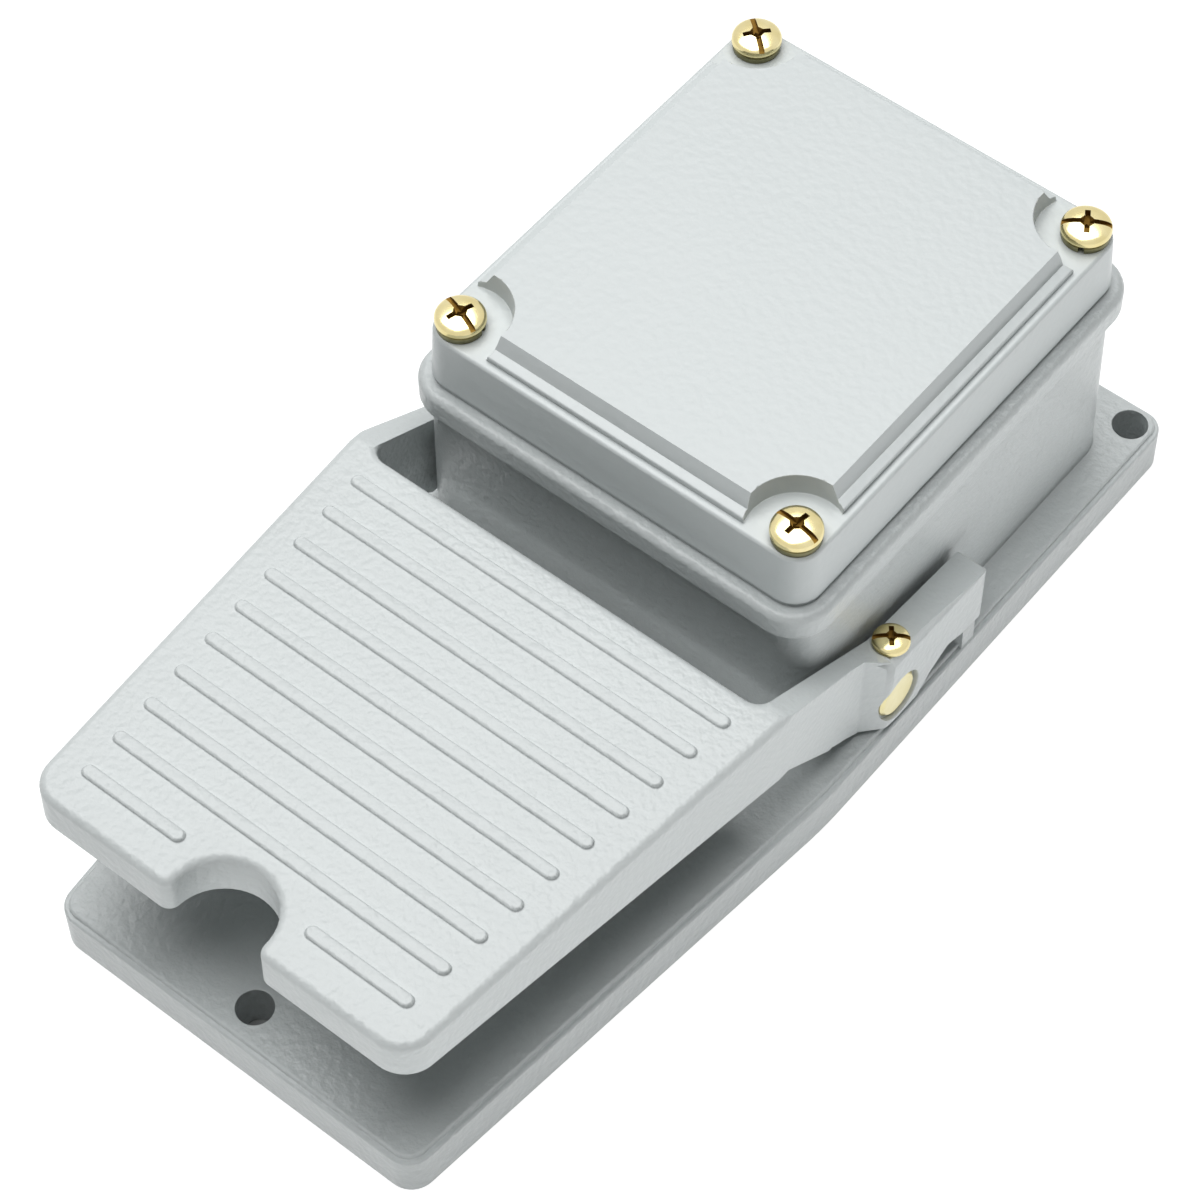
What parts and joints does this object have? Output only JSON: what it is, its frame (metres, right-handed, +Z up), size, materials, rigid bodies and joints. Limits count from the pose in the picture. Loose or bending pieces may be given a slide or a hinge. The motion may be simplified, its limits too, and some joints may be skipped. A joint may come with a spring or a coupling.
{
  "type": "industrial foot switch",
  "caption": "Heavy die-cast foot switch: a notched, ribbed pedal on a cross shaft works a snap-action switch in a screwed-down box behind it.",
  "frame": {"origin": "on the floor under the middle of the base plate's footprint", "axes": "+Z up, +Y from the pedal's toe towards the switch box and its cable entry, +X to the right of someone who faces the toe from behind the box's far side, as in the picture"},
  "size_m": [0.1052, 0.216, 0.0758],
  "materials": {
    "cast_aluminium": "satin",
    "black_rubber": "matte",
    "yellow_zinc": "satin",
    "yellow_zinc_shaft": "satin",
    "bronze": "satin",
    "steel": "satin",
    "blackened_steel": "satin",
    "spring_steel": "polished",
    "phenolic": "matte",
    "plunger_plastic": "matte",
    "brass": "satin",
    "nickel_brass": "satin"
  },
  "bodies": {
    "housing": {"base_housing": "cast_aluminium", "cover": "cast_aluminium", "cover_gasket": "black_rubber", "shaft_seals": "black_rubber", "gland_seal": "black_rubber", "cover_screws": "yellow_zinc", "cover_spring_washers": "yellow_zinc", "shaft_bushes": "bronze", "return_spring": "spring_steel", "switch_bracket": "steel", "bracket_screws": "steel", "switch_mount_screws": "steel", "switch_case": "phenolic", "switch_lid": "phenolic", "overtravel_spring": "spring_steel", "common_terminal": "brass", "normally_open_terminal": "brass", "normally_closed_terminal": "brass", "terminal_screws": "steel", "earth_washer": "brass", "earth_screw": "steel", "gland_body": "nickel_brass", "gland_locknut": "nickel_brass"},
    "pedal": {"pedal": "cast_aluminium", "pivot_shaft": "yellow_zinc_shaft", "shaft_lock_screws": "yellow_zinc", "drive_lever": "steel", "lever_grub_screw": "blackened_steel"},
    "plunger": {"switch_plunger": "plunger_plastic"},
    "blade": {"contact_blade": "brass"}
  },
  "joints": [
    {"name": "pedal_hinge", "type": "hinge", "parent": "housing", "child": "pedal", "pos_m": [0, 0.0193, 0.0179], "axis": [1, 0, 0], "range_deg": [0, 8], "stiffness_Nm_per_rad": 1.75, "springref_deg": -24.06, "deforming": ["return_spring"]},
    {"name": "plunger_slide", "type": "slide", "parent": "housing", "child": "plunger", "axis": [0, 0, 1], "range_m": [0, 0.00245], "deforming": ["overtravel_spring"]},
    {"name": "blade_hinge", "type": "hinge", "parent": "housing", "child": "blade", "pos_m": [-0.0175, 0.03676, 0.0352], "axis": [0, -1, 0], "range_deg": [0, 1.61]}
  ],
  "couplings": [
    {"joint": "plunger_slide", "follows": "pedal_hinge", "m_per_rad": 0.017486},
    {"joint": "blade_hinge", "follows": "pedal_hinge", "ratio": 0.2}
  ]
}
